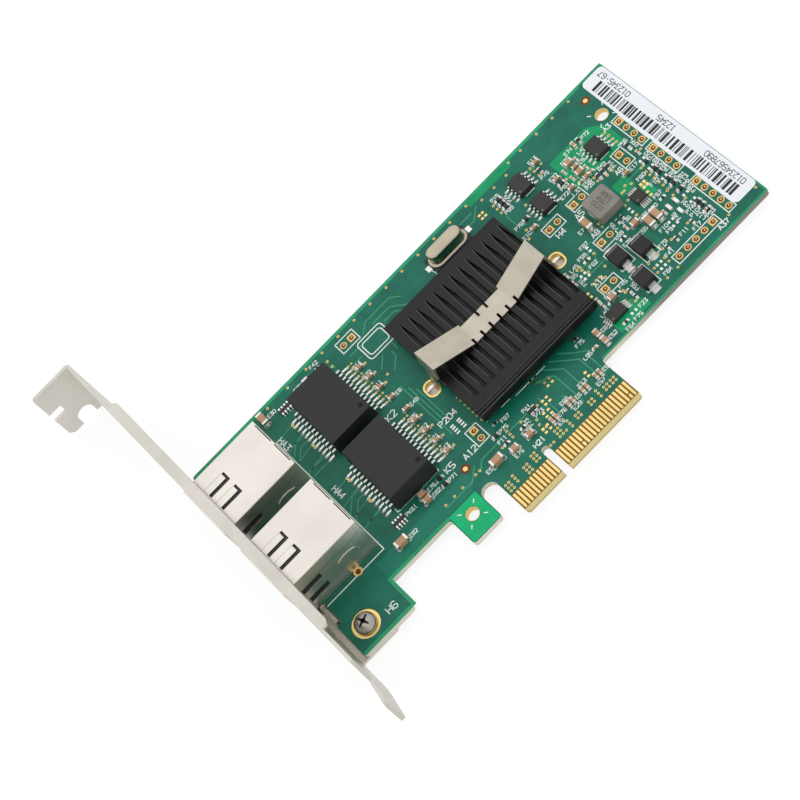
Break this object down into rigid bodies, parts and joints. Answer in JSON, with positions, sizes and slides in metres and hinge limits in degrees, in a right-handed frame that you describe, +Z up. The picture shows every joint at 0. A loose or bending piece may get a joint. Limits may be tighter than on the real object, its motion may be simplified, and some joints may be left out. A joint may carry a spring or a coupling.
{
  "type": "network interface card",
  "caption": "Full height expansion card with shielded network sockets, a clipped heat sink, isolating transformers and a short edge connector on a green board.",
  "frame": {"origin": "under the middle of the card's box, level with its lowest point, the tip of the bracket screw", "axes": "+X runs along the board away from the bracket, +Y runs from the edge connector to the bracket's tab, +Z is up from the component side"},
  "size_m": [0.144, 0.12, 0.0189],
  "materials": {
    "board": "green solder mask over glass fibre board, satin gloss",
    "gold_plate": "thin gold plating, smooth",
    "bracket_steel": "bare plated steel sheet, satin",
    "screw_steel": "plated steel, satin",
    "chip_plastic": "moulded black epoxy, matt",
    "transformer_plastic": "moulded black epoxy, matt with fine grain",
    "pad_rubber": "soft grey pad",
    "sink_aluminium": "black anodised, satin",
    "clip_steel": "nickel plated spring steel, satin",
    "can_steel": "drawn nickel plated can, satin",
    "tinned_lead": "tinned copper, satin",
    "coil_ferrite": "pressed metal powder, matt grey",
    "label_paper": "white printed paper, blank but for plain bars",
    "capacitor_ceramic": "tan ceramic with tinned ends",
    "resistor_ceramic": "black glazed ceramic with tinned ends",
    "shield_tin": "tinned sheet, bright satin",
    "housing_plastic": "moulded black plastic",
    "contact_gold": "gold plated phosphor bronze",
    "light_window": "clear moulded window"
  },
  "bodies": {
    "root": {"bracket": "bracket_steel", "bracket_screw": "screw_steel", "capacitors_large": "capacitor_ceramic", "capacitors_small": "capacitor_ceramic", "circuit_board": "board", "controller_chip": "chip_plastic", "crystal_base": "chip_plastic", "crystal_can": "can_steel", "crystal_leads": "tinned_lead", "edge_contacts_back": "gold_plate", "edge_contacts_front": "gold_plate", "heatsink": "sink_aluminium", "heatsink_clip": "clip_steel", "inductor_core": "coil_ferrite", "inductor_terminals": "tinned_lead", "jack_1_contacts": "contact_gold", "jack_1_housing": "housing_plastic", "jack_1_lights": "light_window", "jack_1_shield": "shield_tin", "jack_2_contacts": "contact_gold", "jack_2_housing": "housing_plastic", "jack_2_lights": "light_window", "jack_2_shield": "shield_tin", "label": "label_paper", "magnetics_1_body": "transformer_plastic", "magnetics_1_leads": "tinned_lead", "magnetics_2_body": "transformer_plastic", "magnetics_2_leads": "tinned_lead", "memory_chip_1_body": "chip_plastic", "memory_chip_1_leads": "tinned_lead", "memory_chip_2_body": "chip_plastic", "memory_chip_2_leads": "tinned_lead", "memory_chip_3_body": "chip_plastic", "memory_chip_3_leads": "tinned_lead", "plated_rings": "gold_plate", "rectifier_1_body": "chip_plastic", "rectifier_1_leads": "tinned_lead", "rectifier_2_body": "chip_plastic", "rectifier_2_leads": "tinned_lead", "rectifier_3_body": "chip_plastic", "rectifier_3_leads": "tinned_lead", "regulator_chip_body": "chip_plastic", "regulator_chip_leads": "tinned_lead", "resistor_array_1": "resistor_ceramic", "resistor_array_2": "resistor_ceramic", "resistors": "resistor_ceramic", "switch_chip_body": "chip_plastic", "switch_chip_leads": "tinned_lead", "thermal_pad": "pad_rubber"}
  },
  "joints": []
}
